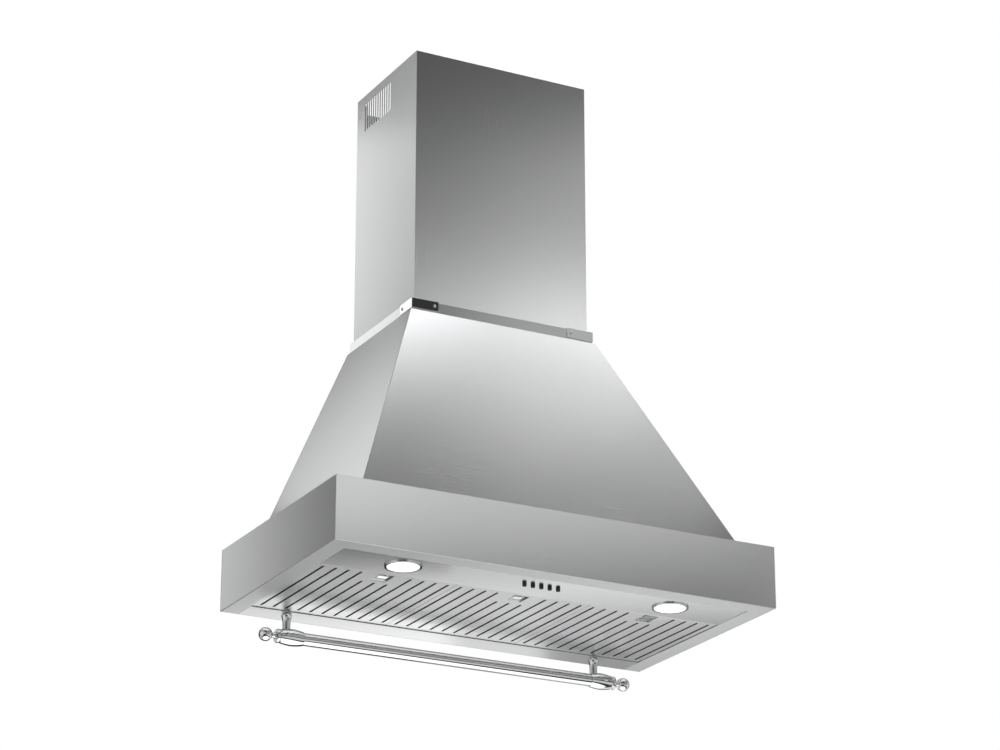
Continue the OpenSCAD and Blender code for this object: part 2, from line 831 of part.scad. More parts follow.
// A filter's tray: slotted face, folded walls, latch pocket and rear hooks
module filter_tray(i) {
    half = filter_w / 2;
    color(STEEL) hood()
        translate([filter_x(i), filter_y, 0]) {
            difference() {
                block(pm(half), [0, filter_l], [filter_lift, filter_top]);
                block(pm(half - filter_t), [filter_t, filter_l - filter_t],
                    [filter_lift + filter_t, baffle_top]);
                block(pm(half - filter_flange), [filter_flange, filter_l - filter_flange],
                    [baffle_top - over, filter_top + over]);
                for (n = [0 : slot_count - 1])
                    block(pm(slot_w / 2, slot_x(n)), [slot_start(n), filter_l - slot_rear],
                        [filter_lift - over, filter_lift + filter_t + over]);
                block(pm(pocket_w / 2), [pocket_front, pocket_end], [filter_lift - over, floor_z]);
                latch_window([-over, filter_t + over]);
            }
            for (n = [0 : slot_count - 1], side = [-1, 1])
                translate([slot_x(n), 0, 0])
                    scale([side, 1, 1])
                        block([slot_w / 2, slot_w / 2 + filter_t], [slot_start(n), filter_l - slot_rear],
                            [filter_lift, filter_lift + filter_t + slot_fold]);
            latch_pocket();
            for (x = pm(hook_x))
                block(pm(hook_w / 2, x), [filter_l - filter_flange, filter_l + hook_reach],
                    [filter_top, filter_top + filter_t]);
        }
}

// The way that the latch bolt takes through the tray's front wall
module latch_window(y) {
    block(pm(tab_w / 2 + screw_gap), y, [bolt_z - seat, bolt_z + latch_t + screw_gap]);
}

// The pan that the latch's tab slides in, with a guide strap over the bolt
module latch_pocket() {
    out_x = pocket_w / 2 + filter_t;
    neck = tab_front + pocket_front + tab_l / 2;
    guide = [pocket_front + tab_front, pocket_front + tab_front + strap_w / 2];
    top = bolt_z + latch_t + screw_gap;
    difference() {
        block(pm(out_x), [pocket_front - filter_t, pocket_end + filter_t], [filter_lift, floor_z + filter_t]);
        block(pm(pocket_w / 2), [pocket_front, pocket_end], [filter_lift - over, floor_z]);
        block(pm(tab_w / 4 + screw_gap),
            [neck - tab_l / 4 - screw_gap, neck + tab_l / 4 + latch_travel + screw_gap],
            [floor_z - over, floor_z + filter_t + over]);
        bar_z(drain_r, pocket_w / 2 - 2 * drain_r, pocket_end - 3 * drain_r,
            [floor_z - over, floor_z + filter_t + over]);
    }
    difference() {
        block(pm(tab_w / 2 + screw_gap + filter_t), guide, [floor_z + filter_t, top + filter_t]);
        block(pm(tab_w / 2 + screw_gap), [guide[0] - over, guide[1] + over], [floor_z, top]);
    }
}

// The upper layer of a filter: one inverted channel over each slot, held by two straps
module filter_baffles(i) {
    wall = filter_t + seat;
    color(STEEL) hood()
        translate([filter_x(i), filter_y, 0]) {
            for (n = [0 : slot_count - 1]) {
                blocked = abs(slot_x(n)) < (pocket_w + baffle_w) / 2;
                y = [blocked ? pocket_end + 2 * filter_t : wall, filter_l - wall];
                translate([slot_x(n), 0, 0])
                    difference() {
                        block(pm(baffle_w / 2), y, [baffle_top - filter_t - baffle_leg, baffle_top]);
                        block(pm(baffle_w / 2 - filter_t), [y[0] - over, y[1] + over],
                            [0, baffle_top - filter_t]);
                    }
            }
            for (y = [pocket_end + strap_w, filter_l - pocket_end - strap_w])
                block(pm(filter_w / 2 - filter_flange - seat), [y, y + strap_w], [baffle_top, filter_top]);
        }
}

// A latch: the bolt above the pocket's floor, and the tab that a finger draws back
module filter_latch(i) {
    start = pocket_front + tab_front;
    tab_z = filter_lift + (pocket_depth - filter_t) / 2;
    color(BRIGHT) hood()
        translate([filter_x(i), filter_y, 0]) {
            block(pm(tab_w / 2), [-latch_reach, start + tab_l], [bolt_z, bolt_z + latch_t]);
            block(pm(tab_w / 4), [start + tab_l / 4, start + tab_l * 3 / 4], [tab_z, bolt_z + latch_t]);
            block(pm(tab_w / 2), [start, start + tab_l], [tab_z, tab_z + filter_t]);
            block(pm(tab_w / 2), [start, start + filter_t], [filter_lift + seat, tab_z + filter_t]);
        }
}

// The scroll's outline in Y and Z about the fan's axis, grown by a sheet's thickness
module scroll_outline(grow, top) {
    step = (360 - tongue_angle) / 30;
    polygon(concat(
        [for (n = [0 : 30]) let (a = tongue_angle + n * step, r = scroll_at(a) + grow)
            [r * cos(a), r * sin(a)]],
        [[outlet_rear + grow, top], [outlet_front - grow, top]]
    ));
}

// The scroll's wrapped wall, with the flange that hangs it under the top plate
module scroll_wrapper() {
    x = scroll_w / 2;
    top = pyramid_top - fan_z;
    flange = [outlet_front - scroll_t - scroll_flange, outlet_rear + scroll_t + scroll_flange];
    color(ZINC) hood() difference() {
        translate([0, fan_y, fan_z])
            difference() {
                union() {
                    along_x(pm(x))
                        scroll_outline(scroll_t, top);
                    block(pm(x + scroll_t + scroll_flange), flange, [top - sheet, top]);
                }
                along_x(pm(x + over))
                    scroll_outline(0, top + over);
                block(pm(x), [outlet_front, outlet_rear], [top - sheet - over, top + over]);
                for (side = [-1, 1])
                    scale([side, 1, 1])
                        block([x, x + scroll_t], [flange[0] + scroll_flange, flange[1] - scroll_flange],
                            [top - sheet - over, top + over]);
            }
        blower_screw_holes([pyramid_top - sheet - over, pyramid_top + over]);
    }
}

// One cheek of the scroll, with a rolled inlet
module inlet_plate(side) {
    x = scroll_w / 2;
    top = pyramid_top - fan_z;
    color(ZINC) hood()
        translate([0, fan_y, fan_z])
            scale([side, 1, 1]) {
                difference() {
                    along_x([x, x + scroll_t])
                        scroll_outline(scroll_t, top);
                    bar_x(inlet_r, [x - over, x + scroll_t + over], 0, 0);
                }
                turned_x(1, x, 0, 0)
                    difference() {
                        translate([inlet_r, 0])
                            square([2 * scroll_t, inlet_lip]);
                        translate([inlet_r - scroll_t, scroll_t])
                            square([scroll_t, inlet_lip]);
                    }
            }
}

// The motor, which sits inside the wheel's left half
module fan_motor() {
    cap = motor_r * 0.86;
    step = motor_l / 6;
    color(GREY) hood()
        translate([-motor_off, fan_y, fan_z])
            rotate([0, -90, 0])
                rotate_extrude()
                    polygon([
                        [shaft_r + play, 0], [cap, 0], [motor_r, step], [motor_r, motor_l - step],
                        [cap, motor_l], [shaft_r + play, motor_l]
                    ]);
}

// The motor's ring and its three arms, which stand on the left cheek round the inlet
module motor_bracket() {
    face = scroll_w / 2 + scroll_t;
    ring = motor_r + play;
    reach = inlet_r + 2 * scroll_t + arm_w;
    arm_x = [-face - inlet_lip - arm_t, -face - inlet_lip];
    color(ZINC) hood()
        translate([0, fan_y, fan_z]) {
            difference() {
                union() {
                    bar_x(ring + arm_t, [arm_x[0] - ring_d + arm_t, arm_x[1]], 0, 0);
                    for (turn = [90, 210, 330])
                        rotate([turn, 0, 0]) {
                            block(arm_x, [0, reach], pm(arm_w / 2));
                            block([arm_x[0], -face], [reach - arm_w / 2, reach], pm(arm_w / 2));
                        }
                }
                bar_x(ring, [arm_x[0] - ring_d, arm_x[1] + over], 0, 0);
            }
        }
}

// The shaft, through the motor and into the wheel's hub
module motor_shaft() {
    color(BRIGHT) hood()
        bar_x(shaft_r, [-motor_off - motor_l - arm_t, hub_l / 2 + arm_t], fan_y, fan_z);
}

// The fan wheel: forward-curved blades between two rings, on a disc with a hub
module fan_wheel() {
    half = wheel_w / 2;
    inner = wheel_r - blade_d;
    color(BLACK) hood()
        translate([0, fan_y, fan_z])
            difference() {
                union() {
                    along_x(pm(half))
                        for (n = [0 : blade_count - 1])
                            rotate(n * 360 / blade_count)
                                blade(inner);
                    for (x = [-half, half - blade_t * 2])
                        difference() {
                            bar_x(wheel_r, [x, x + blade_t * 2], 0, 0);
                            bar_x(wheel_r - blade_d / 2, [x - over, x + blade_t * 2 + over], 0, 0);
                        }
                    bar_x(wheel_r - blade_d / 4, pm(blade_t), 0, 0);
                    bar_x(hub_r, pm(hub_l / 2), 0, 0);
                }
                bar_x(shaft_r + play, pm(hub_l), 0, 0);
            }
}

// A blade's section: a curved strip from the wheel's inner radius to just inside its rim
module blade(inner) {
    outer = wheel_r - blade_t;
    sweep = [for (s = [0 : 3]) [inner + (outer - inner) * s / 3, 7 * s * s / 9]];
    polygon(concat(
        [for (p = sweep) p[0] * [cos(p[1]), sin(p[1])]],
        [for (s = [3 : -1 : 0]) let (p = sweep[s])
            p[0] * [cos(p[1]), sin(p[1])] + blade_t * [-sin(p[1]), cos(p[1])]]
    ));
}

// The square flange under the duct outlet, with an upstand that the damper flaps rest on
module duct_flange() {
    outer = duct_r - duct_wall - seat;
    inner = duct_r - duct_wall - rim_w;
    color(BLACK) hood() difference() {
        translate([0, duct_y, plate_top])
            difference() {
                union() {
                    block(pm(flange_x), pm(flange_y), [0, duct_flange_t]);
                    bar_z(outer, 0, 0, [0, damper_h - flap_t / 2]);
                }
                bar_z(inner, 0, 0, [-over, damper_h]);
            }
        blower_screw_holes([plate_top - over, plate_top + duct_flange_t + over]);
        bar_x(rod_r + play, pm(duct_r + over), duct_y, damper_z);
    }
}

// The round outlet that the duct slides over, on its flange
module duct_outlet() {
    low = plate_top + duct_flange_t;
    high = plate_top + duct_h;
    color(BLACK) hood() difference() {
        bar_z(duct_r, 0, duct_y, [low, high]);
        bar_z(duct_r - duct_wall, 0, duct_y, [low - over, high + over]);
        bar_x(rod_r + play, pm(duct_r + over), duct_y, damper_z);
    }
}

module blower_screws() {
    color(BRIGHT) hood()
        for (x = pm(blower_screw_x), y = pm(blower_screw_y))
            translate([x, duct_y + y, plate_top + duct_flange_t])
                rotate([180, 0, 0])
                    screw(bolt_r, duct_flange_t + 4 * sheet);
}

module damper_rod() {
    color(BRIGHT) hood()
        bar_x(rod_r, pm(duct_r - duct_wall / 4), duct_y, damper_z);
}

// One of the damper's two half discs, on two hinge eyes round the rod
module damper_flap(side) {
    eye_r = 2 * rod_r;
    gap = eye_r + flap_t / 2;
    eyes = [-flap_r * 3 / 4, flap_r / 8];
    color(GREY) hood()
        translate([0, duct_y, damper_z])
            scale([side, side, 1])
                difference() {
                    union() {
                        intersection() {
                            bar_z(flap_r, 0, 0, pm(flap_t / 2));
                            block(pm(duct_r), [gap, duct_r], pm(flap_t));
                        }
                        for (x = eyes) {
                            block([x, x + eye_w], [0, gap + over], pm(flap_t / 2));
                            bar_x(eye_r, [x, x + eye_w], 0, 0);
                        }
                    }
                    bar_x(rod_r + play, pm(duct_r), 0, 0);
                }
}

// The closed box with the transformer and the controls, fixed to the rear panel
module electronics_box() {
    color(BLACK) hood() {
        block([box_x, box_x + box_w], [-sheet - box_d, -sheet], [box_z, box_z + box_h]);
        block([box_x - sheet, box_x + box_w + sheet], [-sheet - box_d * 3 / 4, -sheet - box_d * 2 / 3],
            [box_z - sheet, box_z + box_h + sheet]);
    }
}

// The gland for the mains cable, through the top plate
module cable_gland() {
    cap_r = gland_r + (gland_flange_r - gland_r) / 2;
    color(BLACK) hood()
        translate([gland_x, -gland_y, 0])
            rotate_extrude()
                polygon([
                    [gland_bore_r, pyramid_top - gland_drop], [gland_flange_r, pyramid_top - gland_drop],
                    [gland_flange_r, pyramid_top], [gland_r, pyramid_top], [gland_r, plate_top],
                    [gland_flange_r, plate_top], [gland_flange_r, plate_top + gland_h / 3],
                    [cap_r, plate_top + gland_h / 2], [cap_r, plate_top + gland_h * 3 / 4],
                    [gland_bore_r + sheet, plate_top + gland_h], [gland_bore_r, plate_top + gland_h]
                ]);
}

// The rail's tube, which ends inside the two ferrules
module rail_tube() {
    bore = tube_r - sheet;
    x = pm(ferrule_x - ferrule_l / 2 + tube_in, rail_shift);
    color(BRIGHT) hood() difference() {
        bar_x(tube_r, x, -rail_y, rail_z);
        bar_x(bore, x + [-over, over], -rail_y, rail_z);
    }
}

// A ferrule's outline, as radius against distance outwards from its inner end
module ferrule_profile(grow) {
    l = ferrule_l;
    e = ferrule_end_r + grow;
    swell = ferrule_r - ferrule_end_r;
    polygon(concat(
        [[0, 0]],
        [for (n = [0 : 10]) [e + swell * sin(18 * n), l * 0.84 * n / 10]],
        [[e - swell, l * 0.86], [e - swell, l * 0.89], [e, l * 0.92], [e, l * 0.97], [e - swell / 3, l], [0, l]]
    ));
}

module ferrule_solid(side, grow) {
    turned_x(side, rail_shift + side * (ferrule_x - ferrule_l / 2), -rail_y, rail_z)
        ferrule_profile(grow);
}

// A barrel-shaped ferrule, bored for the tube, the ball's stem and the post's pin
module rail_ferrule(side) {
    inner = ferrule_x - ferrule_l / 2;
    color(BRIGHT) hood() difference() {
        ferrule_solid(side, 0);
        translate([rail_shift, 0, 0])
            scale([side, 1, 1]) {
                bar_x(tube_r + play, [inner - over, inner + tube_in + play], -rail_y, rail_z);
                bar_x(neck_r + play, [inner + tube_in, inner + ferrule_l + over], -rail_y, rail_z);
            }
        bar_z(stud_r + play, side * post_x, -rail_y, [rail_z + tube_r, 0]);
    }
}

// The ball at one end of the rail, on a stem that fits in the ferrule
module rail_ball(side) {
    out = neck_l + ball_r;
    collar_r = neck_r * 1.4;
    angle = asin(neck_r / ball_r);
    color(BRIGHT) hood()
        turned_x(side, rail_shift + side * (ferrule_x + ferrule_l / 2), -rail_y, rail_z)
            polygon(concat(
                [[0, -ferrule_l / 3], [neck_r, -ferrule_l / 3], [neck_r, seat], [collar_r, seat],
                    [collar_r, neck_l / 4], [neck_r, neck_l / 2]],
                [for (n = [0 : 24]) let (a = angle + n * (180 - angle) / 24)
                    [ball_r * sin(a), out - ball_r * cos(a)]]
            ));
}

// A post from the rear strip down to its ferrule, with a stud above and a pin below
module rail_post(side) {
    foot = rail_z + ferrule_r;
    color(BRIGHT) hood() {
        difference() {
            translate([side * post_x, -rail_y, 0])
                rotate_extrude()
                    polygon(concat(
                        [[0, 0]],
                        [for (n = [0 : 8]) let (s = n / 8)
                            [post_waist_r + (post_top_r - post_waist_r) * pow(1 - s, 3), foot * s]],
                        [[post_waist_r, rail_z + tube_r], [0, rail_z + tube_r]]
                    ));
            ferrule_solid(side, seat);
        }
        bar_z(stud_r, side * post_x, -rail_y, [rail_z + tube_r + sheet, sheet + 2 * nut_h]);
    }
}

// The nuts that hold the posts, on top of the rear strip
module post_nuts() {
    color(ZINC) hood() for (x = pm(post_x))
        translate([x, -rail_y, sheet])
            difference() {
                cylinder(d = nut_w / cos(30), h = nut_h, $fn = 6);
                bar_z(stud_r + play, 0, 0, [-over, nut_h + over]);
            }
}

canopy_skirt();
pyramid_shell();
rear_panel();
top_plate();
collar();
corner_clip(-1);  // corner_clip_left
corner_clip(1);  // corner_clip_right
clip_screws();
chimney_cover();
chimney_bracket();
chimney_screws();
underside_frame();
rear_strip();
lamp_panel();
lamp_bezel(-1);  // lamp_bezel_left
lamp_bezel(1);  // lamp_bezel_right
lamp_lens(-1);  // lamp_lens_left
lamp_lens(1);  // lamp_lens_right
lamp_body(-1);  // lamp_body_left
lamp_body(1);  // lamp_body_right
switch_block();
push_button(1);  // button_1
push_button(2);  // button_2
push_button(3);  // button_3
push_button(4);  // button_4
push_button(5);  // button_5
filter_tray(1);  // filter_tray_1
filter_tray(2);  // filter_tray_2
filter_tray(3);  // filter_tray_3
filter_baffles(1);  // filter_baffles_1
filter_baffles(2);  // filter_baffles_2
filter_baffles(3);  // filter_baffles_3
filter_latch(1);  // filter_latch_1
filter_latch(2);  // filter_latch_2
filter_latch(3);  // filter_latch_3
scroll_wrapper();
inlet_plate(-1);  // inlet_plate_left
inlet_plate(1);  // inlet_plate_right
fan_motor();
motor_bracket();
motor_shaft();
fan_wheel();
duct_flange();
duct_outlet();
blower_screws();
damper_rod();
damper_flap(-1);  // damper_flap_front
damper_flap(1);  // damper_flap_rear
electronics_box();
cable_gland();
rail_tube();
rail_ferrule(-1);  // rail_ferrule_left
rail_ferrule(1);  // rail_ferrule_right
rail_ball(-1);  // rail_ball_left
rail_ball(1);  // rail_ball_right
rail_post(-1);  // rail_post_left
rail_post(1);  // rail_post_right
post_nuts();
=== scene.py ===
"""Looks of the wall mount range hood: folded sheets, turned rail, lamps, buttons and studio."""
import json
import math

import bmesh
import bpy
from mathutils import Matrix, Vector


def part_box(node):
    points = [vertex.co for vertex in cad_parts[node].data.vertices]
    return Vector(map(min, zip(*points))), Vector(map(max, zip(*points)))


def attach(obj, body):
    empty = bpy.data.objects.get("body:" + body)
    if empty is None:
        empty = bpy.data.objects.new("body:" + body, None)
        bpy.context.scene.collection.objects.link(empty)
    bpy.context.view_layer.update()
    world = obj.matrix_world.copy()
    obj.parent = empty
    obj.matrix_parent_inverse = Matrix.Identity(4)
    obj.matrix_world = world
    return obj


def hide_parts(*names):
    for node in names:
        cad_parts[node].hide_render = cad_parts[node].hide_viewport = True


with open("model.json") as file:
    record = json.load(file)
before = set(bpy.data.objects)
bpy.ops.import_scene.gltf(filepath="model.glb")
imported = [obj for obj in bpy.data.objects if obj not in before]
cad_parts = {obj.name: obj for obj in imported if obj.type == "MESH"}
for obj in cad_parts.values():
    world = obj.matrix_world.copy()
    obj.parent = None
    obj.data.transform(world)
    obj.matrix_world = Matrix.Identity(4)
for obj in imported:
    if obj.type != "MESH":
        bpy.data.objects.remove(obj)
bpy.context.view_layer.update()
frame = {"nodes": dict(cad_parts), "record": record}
MM = 0.001
# The canopy's lower edge lies this far below the frame's origin, in metres
HANG = 0.310

# Camera: fitted to the photograph with no shift. Metres, mm of lens and sensor, degrees
CAMERA_PLACE = (-2.6663, -5.2826, -1.6818 - HANG)
LENS_LENGTH, SENSOR_WIDTH = 115.2, 36
LOOKS_UP, TURNS_RIGHT = 20.652, 27.956

cam_data = bpy.data.cameras.new("camera")
cam_data.lens = LENS_LENGTH
cam_data.sensor_width = SENSOR_WIDTH
camera = bpy.data.objects.new("camera", cam_data)
camera.location = CAMERA_PLACE
camera.rotation_euler = (math.radians(90 + LOOKS_UP), 0, math.radians(-TURNS_RIGHT))
bpy.context.scene.collection.objects.link(camera)
bpy.context.scene.camera = camera
bpy.context.scene.view_settings.view_transform = "Standard"


def fitted(tree, kind, sockets=None, **settings):
    """A new shader node. Each socket named or numbered takes a value or another node's socket."""
    node = tree.nodes.new(kind)
    for key, value in settings.items():
        setattr(node, key, value)
    for key, value in (sockets or {}).items():
        if isinstance(value, bpy.types.NodeSocket):
            tree.links.new(value, node.inputs[key])
        else:
            node.inputs[key].default_value = value
    return node


def reckoned(tree, operation, *numbers):
    """What an operation, such as a product or the larger of two, makes of numbers or sockets."""
    node = fitted(tree, "ShaderNodeMath", dict(enumerate(numbers)), operation=operation)
    return node.outputs[0]


# Finishes

# Share of the streaks and of the clouds in the grain, and the stretch of their sum that is used
STREAKS, CLOUDS = 0.65, 0.35
GRAIN_FROM, GRAIN_TO = 0.3, 0.7
STREAK_DETAIL = 3
CLOUD_DETAIL, CLOUD_SCALE = 4, 7
# Metres that a full bump strength raises the streaks
STREAK_HEIGHT = 0.001


def grain_group():
    """Fine streaks and faint clouds from Object coordinates: a shade, a roughness, a height."""
    group = bpy.data.node_groups.new("grain", "ShaderNodeTree")
    face = group.interface
    face.new_socket("Stretch", in_out="INPUT", socket_type="NodeSocketVector")
    for name in ("Rough low", "Rough high", "Dark"):
        face.new_socket(name, in_out="INPUT", socket_type="NodeSocketFloat")
    for name in ("Shade", "Rough", "Height"):
        face.new_socket(name, in_out="OUTPUT", socket_type="NodeSocketFloat")
    given = fitted(group, "NodeGroupInput").outputs
    place = fitted(group, "ShaderNodeTexCoord").outputs["Object"]
    stretched = fitted(group, "ShaderNodeVectorMath", {0: place, 1: given["Stretch"]},
                       operation="MULTIPLY").outputs[0]
    streak = fitted(group, "ShaderNodeTexNoise", {
        "Vector": stretched, "Scale": 1, "Detail": STREAK_DETAIL}).outputs["Fac"]
    cloud = fitted(group, "ShaderNodeTexNoise", {
        "Vector": place, "Scale": CLOUD_SCALE, "Detail": CLOUD_DETAIL}).outputs["Fac"]
    grain = reckoned(group, "MULTIPLY_ADD", cloud, CLOUDS,
                     reckoned(group, "MULTIPLY", streak, STREAKS))
    used = {"Value": grain, "From Min": GRAIN_FROM, "From Max": GRAIN_TO}
    shade = fitted(group, "ShaderNodeMapRange", {**used, "To Min": given["Dark"], "To Max": 1})
    rough = fitted(group, "ShaderNodeMapRange", {
        **used, "To Min": given["Rough low"], "To Max": given["Rough high"]})
    fitted(group, "NodeGroupOutput", {
        "Shade": shade.outputs[0], "Rough": rough.outputs[0], "Height": streak})
    return group


def plain(name, colour, metallic, rough, more=None):
    """A material, its tree and its shader. Values that are even all over sit on the shader."""
    mat = bpy.data.materials.new(name)
    mat.use_nodes = True
    shader = mat.node_tree.nodes["Principled BSDF"]
    even = {"Base Color": (*colour, 1), "Metallic": metallic, "Roughness": rough, **(more or {})}
    for key, value in even.items():
        shader.inputs[key].default_value = value
    return mat, mat.node_tree, shader


def grained(name, colour, metallic, rough, stretch, dark, strength, more=None):
    """A material with the grain in its colour, roughness and height."""
    low, high = rough
    mat, tree, shader = plain(name, colour, metallic, (low + high) / 2, more)
    grain = fitted(tree, "ShaderNodeGroup", {
        "Stretch": stretch, "Rough low": low, "Rough high": high, "Dark": dark,
    }, node_tree=GRAIN).outputs
    tint = fitted(tree, "ShaderNodeMix", {
        "Factor": 1, "A": (*colour, 1), "B": grain["Shade"],
    }, data_type="RGBA", blend_type="MULTIPLY")
    lift = fitted(tree, "ShaderNodeBump", {
        "Strength": strength, "Distance": STREAK_HEIGHT, "Height": grain["Height"]})
    tree.links.new(tint.outputs["Result"], shader.inputs["Base Color"])
    tree.links.new(grain["Rough"], shader.inputs["Roughness"])
    tree.links.new(lift.outputs["Normal"], shader.inputs["Normal"])
    return mat


# Scale of the grain across the streaks and along them, and the streaks' directions on the hood
FINEST, FINE, ALONG = 2400, 1600, 8
LEVEL = (ALONG, ALONG, FINEST)
UPRIGHT = (FINEST, FINEST, ALONG)
SIDEWAYS = (ALONG, FINE, ALONG)
TO_THE_WALL = (FINE, ALONG, ALONG)

STEEL = (0.74, 0.745, 0.75)
# Colour, metallic, lowest and highest roughness, stretch of the grain, its darkest shade, and
# the strength of its bump
FINISHES = {
    "steel_level": (STEEL, 1, (0.26, 0.275), LEVEL, 0.985, 0.0001),
    "collar": (STEEL, 1, (0.2, 0.215), LEVEL, 0.985, 0.0001),
    "steel_upright": (STEEL, 1, (0.26, 0.275), UPRIGHT, 0.985, 0.0001),
    "steel_under": (STEEL, 1, (0.17, 0.185), SIDEWAYS, 0.985, 0.0003),
    "frame": (STEEL, 1, (0.4, 0.42), SIDEWAYS, 0.985, 0.0003),
    "rear": ((0.7, 0.705, 0.71), 1, (0.28, 0.3), SIDEWAYS, 0.985, 0.0003),
    "filter": (STEEL, 1, (0.27, 0.29), TO_THE_WALL, 0.98, 0.0003),
    # The baffles' near-black is painted shade: the shadow inside the filters seen through their
    # slots, not the colour of their steel
    "baffle": ((0.14, 0.141, 0.143), 1, (0.35, 0.5), TO_THE_WALL, 0.9, 0.002),
    "chrome": ((0.88, 0.885, 0.89), 1, (0.02, 0.05), (300, 300, 300), 0.97, 0.001),
    "zinc": ((0.55, 0.56, 0.57), 1, (0.4, 0.6), (60, 60, 60), 0.75, 0.03),
    "clip": ((0.8, 0.805, 0.81), 1, (0.03, 0.06), (900, 900, 900), 0.93, 0.0005),
    "latch": ((0.86, 0.865, 0.87), 1, (0.1, 0.14), (1200, 5, 5), 0.93, 0.001),
    "plated": ((0.72, 0.725, 0.73), 1, (0.05, 0.1), (700, 700, 700), 0.93, 0.002),
    "cast": ((0.5, 0.505, 0.51), 1, (0.45, 0.6), (500, 500, 500), 0.8, 0.1),
    "black_gloss": ((0.012, 0.012, 0.013), 0, (0.08, 0.14), (600, 600, 600), 0.8, 0.001),
    "black": ((0.03, 0.03, 0.032), 0, (0.42, 0.58), (900, 900, 900), 0.7, 0.08),
    "wheel": ((0.05, 0.05, 0.053), 0, (0.36, 0.5), (700, 700, 700), 0.75, 0.06),
    "motor": ((0.16, 0.165, 0.17), 0.6, (0.35, 0.5), (400, 400, 400), 0.8, 0.05),
    "shaft": ((0.68, 0.685, 0.69), 1, (0.16, 0.26), (4, 1200, 1200), 0.93, 0.02),
    "flap": ((0.74, 0.745, 0.75), 1, (0.28, 0.4), (4, 900, 4), 0.93, 0.02),
    "lens": ((0.95, 0.955, 0.96), 0, (0.3, 0.42), (500, 500, 500), 0.98, 0.03),
}
# Further values of two finishes, the same all over their pieces
EVEN_MORE = {
    "chrome": {"Specular Tint": (0, 0, 0, 1)},
    "lens": {"Emission Color": (1, 1, 1, 1), "Emission Strength": 1.0},
}
GRAIN = grain_group()
finish = {name: grained(name, *values, EVEN_MORE.get(name)) for name, values in FINISHES.items()}


def leaning(mat, rise):
    """Shades the upright faces of a pressed piece as if they leaned back a little."""
    tree = mat.node_tree
    raised = fitted(tree, "ShaderNodeVectorMath", {
        0: tree.nodes["Bump"].outputs["Normal"], 1: (0, 0, rise)})
    even = fitted(tree, "ShaderNodeVectorMath", {0: raised.outputs[0]}, operation="NORMALIZE")
    tree.links.new(even.outputs[0], tree.nodes["Principled BSDF"].inputs["Normal"])


# The rise of a face's normal: 11 degrees for the corner clips, 6 for the collar
CLIP_LEANS, COLLAR_LEANS = 0.2, 0.1
leaning(finish["clip"], CLIP_LEANS)
leaning(finish["collar"], COLLAR_LEANS)

# What a CAD node wears, by its material slot. The baffles share the trays' slot but wear a
# near-black that is painted shade for the dark inside the filters
SLOT_FINISH = {
    "brushed_steel": "steel_level", "filter_steel": "filter", "polished_steel": "chrome",
    "galvanised": "zinc", "fastener": "plated", "lens": "lens", "lamp_body": "cast",
    "button_black": "black_gloss", "plastic_black": "black", "wheel_plastic": "wheel",
    "motor_steel": "motor", "shaft_steel": "shaft", "flap_aluminium": "flap",
}
slots = {part["node"]: part["material_slot"] for part in frame["record"]["subparts"]}
for node, solid in frame["nodes"].items():
    wears = "baffle" if node.startswith("filter_baffles") else SLOT_FINISH[slots[node]]
    if not solid.data.materials:
        solid.data.materials.append(finish[wears])
    for slot in solid.material_slots:
        slot.material = finish[wears]

# Pieces

# Edges that turn by more than these, in radians, are rounded: folds first, then the other edges
FOLD_TURNS, EDGE_TURNS = 0.5, 0.6
# Faces that turn by less than this, in degrees, are merged
FLAT = 1
# Edges that turn by more than these, in degrees, stay sharp in the shading
SHEET_SHARP, TURNED_SHARP = 50, 40
# Metres within which two points of a mesh are one
SAME_POINT = 1e-6
# The largest faces lead the shading of the others
FULL_WEIGHT = 100


def add(name, bm, wears, body, node):
    """Makes a dressed piece of the mesh. It rides on its body and stands for its node."""
    mesh = bpy.data.meshes.new(name)
    bmesh.ops.recalc_face_normals(bm, faces=bm.faces)
    for face in bm.faces:
        face.smooth = True
    bm.to_mesh(mesh)
    bm.free()
    obj = bpy.data.objects.new(name, mesh)
    bpy.context.scene.collection.objects.link(obj)
    mesh.materials.append(finish[wears])
    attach(obj, body)
    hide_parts(node)
    return obj


def round_off(bm, edges, width, segments):
    """Rounds edges by a width in mm."""
    bmesh.ops.bevel(bm, geom=edges, offset=width * MM, offset_type="OFFSET", segments=segments,
                    profile=0.5, affect="EDGES", clamp_overlap=True, material=-1)


def turning(bm, angle):
    """The edges between two faces that turn by more than an angle in radians."""
    return [e for e in bm.edges if len(e.link_faces) == 2 and e.calc_face_angle(0) > angle]


def softened(name, node, wears, body, wide=0.0, fine=0.0, long=60, segments=3):
    """A copy of a CAD solid with its edges rounded, which stands for that solid.

    Edges longer than long are rounded by wide, the others and what is left by fine, all in mm.
    """
    bm = bmesh.new()
    source = frame["nodes"][node]
    bm.from_mesh(source.data)
    bm.transform(source.matrix_world)
    bmesh.ops.remove_doubles(bm, verts=bm.verts, dist=SAME_POINT)
    bmesh.ops.dissolve_limit(bm, angle_limit=math.radians(FLAT), verts=bm.verts, edges=bm.edges)
    bm.normal_update()
    if wide:
        folds = [e for e in turning(bm, FOLD_TURNS) if e.is_convex and e.calc_length() > long * MM]
        round_off(bm, folds, wide, segments)
    if fine:
        bm.normal_update()
        round_off(bm, [e for e in turning(bm, EDGE_TURNS) if e.is_convex], fine, 1)
    obj = add(name, bm, wears, body, node)
    obj.data.set_sharp_from_angle(angle=math.radians(SHEET_SHARP))
    weighted = obj.modifiers.new("normals", "WEIGHTED_NORMAL")
    weighted.keep_sharp = True
    weighted.weight = FULL_WEIGHT


ENDS = ("left", "right")
BUTTONS = range(1, 6)
FILTERS = range(1, 4)

